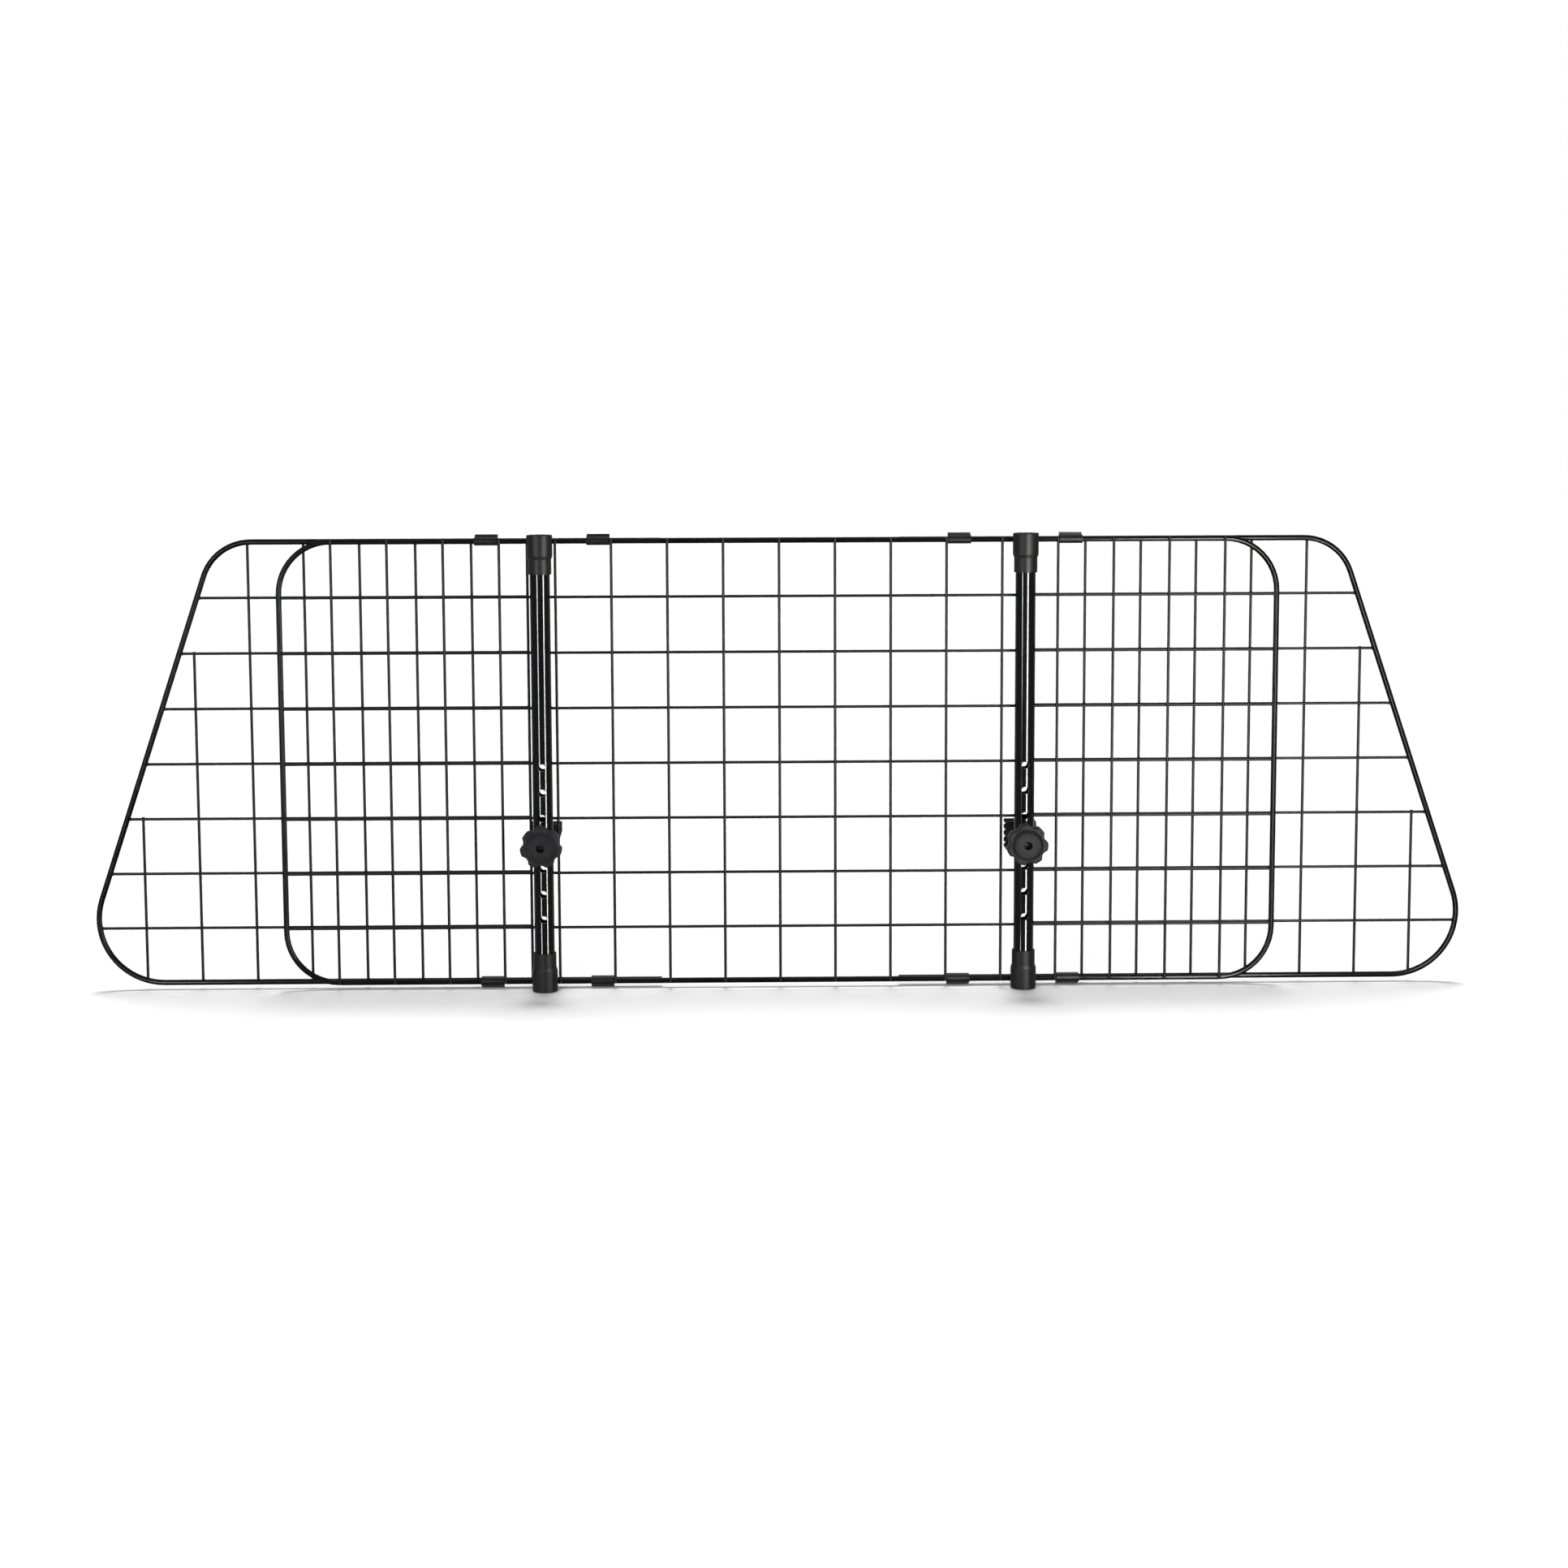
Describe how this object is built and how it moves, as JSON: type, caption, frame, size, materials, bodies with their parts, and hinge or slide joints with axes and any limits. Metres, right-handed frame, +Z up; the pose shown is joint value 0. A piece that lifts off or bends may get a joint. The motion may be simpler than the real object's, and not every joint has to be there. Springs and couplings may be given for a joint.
{
  "type": "car dog guard",
  "caption": "Car dog guard of black welded wire mesh: a wide centre panel, sloping side wings that slide in sheet clips, and upright tubes with star-knob clamps for headrest rods.",
  "frame": {"origin": "the point on the line through both gripped headrest rods, at the clamp bolts' height and in the middle of the centre panel", "axes": "+X to the right as seen from the boot, +Y forwards towards the headrests, +Z up"},
  "size_m": [1.2404, 0.0799, 0.412],
  "materials": {
    "frame_coat": "glossy black powder coat on steel rod",
    "wire_coat": "satin black powder coat on thin wire",
    "clip_coat": "satin black coated sheet steel",
    "tube_coat": "glossy black coated steel tube",
    "cap_plastic": "matte black moulded plastic",
    "knob_plastic": "matte dark grey moulded plastic",
    "jaw_plastic": "matte black moulded plastic",
    "bolt_steel": "zinc-plated steel, dulled",
    "washer_steel": "zinc-plated steel, dulled",
    "insert_brass": "plain turned brass"
  },
  "bodies": {
    "centre_panel": {"centre_frame": "frame_coat", "centre_uprights": "wire_coat", "centre_cross_wires": "wire_coat", "top_left_inner_clip": "clip_coat", "bottom_left_inner_clip": "clip_coat", "top_left_outer_clip": "clip_coat", "bottom_left_outer_clip": "clip_coat", "top_right_inner_clip": "clip_coat", "bottom_right_inner_clip": "clip_coat", "top_right_outer_clip": "clip_coat", "bottom_right_outer_clip": "clip_coat"},
    "left_wing": {"left_wing_frame": "frame_coat", "left_wing_uprights": "wire_coat", "left_wing_cross_wires": "wire_coat"},
    "right_wing": {"right_wing_frame": "frame_coat", "right_wing_uprights": "wire_coat", "right_wing_cross_wires": "wire_coat"},
    "left_post": {"left_post_tube": "tube_coat", "left_post_top_cap": "cap_plastic", "left_post_bottom_cap": "cap_plastic", "left_clamp_washer": "washer_steel", "left_clamp_front_jaw": "jaw_plastic"},
    "left_knob": {"left_clamp_knob": "knob_plastic", "left_knob_insert": "insert_brass"},
    "left_jaw": {"left_clamp_rear_jaw": "jaw_plastic", "left_clamp_bolt": "bolt_steel"},
    "right_post": {"right_post_tube": "tube_coat", "right_post_top_cap": "cap_plastic", "right_post_bottom_cap": "cap_plastic", "right_clamp_washer": "washer_steel", "right_clamp_front_jaw": "jaw_plastic"},
    "right_knob": {"right_clamp_knob": "knob_plastic", "right_knob_insert": "insert_brass"},
    "right_jaw": {"right_clamp_rear_jaw": "jaw_plastic", "right_clamp_bolt": "bolt_steel"}
  },
  "joints": [
    {"name": "left_wing_slide", "type": "slide", "parent": "centre_panel", "child": "left_wing", "axis": [-1, 0, 0], "range_m": [0, 0.024]},
    {"name": "right_wing_slide", "type": "slide", "parent": "centre_panel", "child": "right_wing", "axis": [1, 0, 0], "range_m": [0, 0.024]},
    {"name": "left_post_slide", "type": "slide", "parent": "centre_panel", "child": "left_post", "axis": [-1, 0, 0], "range_m": [0, 0.0065]},
    {"name": "left_knob_turn", "type": "hinge", "parent": "left_post", "child": "left_knob", "pos_m": [-0.21315, -0.05, 0], "axis": [0, 1, 0], "range_deg": [-2160, 900]},
    {"name": "left_jaw_travel", "type": "slide", "parent": "left_post", "child": "left_jaw", "axis": [0, 1, 0], "range_m": [-0.00251, 0.00601]},
    {"name": "right_post_slide", "type": "slide", "parent": "centre_panel", "child": "right_post", "axis": [-1, 0, 0], "range_m": [0, 0.0065]},
    {"name": "right_knob_turn", "type": "hinge", "parent": "right_post", "child": "right_knob", "pos_m": [0.22, -0.05, 0], "axis": [0, 1, 0], "range_deg": [-2160, 900]},
    {"name": "right_jaw_travel", "type": "slide", "parent": "right_post", "child": "right_jaw", "axis": [0, 1, 0], "range_m": [-0.00251, 0.00601]}
  ],
  "couplings": [
    {"joint": "left_jaw_travel", "follows": "left_knob_turn", "m_per_rad": -0.00015915},
    {"joint": "right_jaw_travel", "follows": "right_knob_turn", "m_per_rad": -0.00015915}
  ]
}
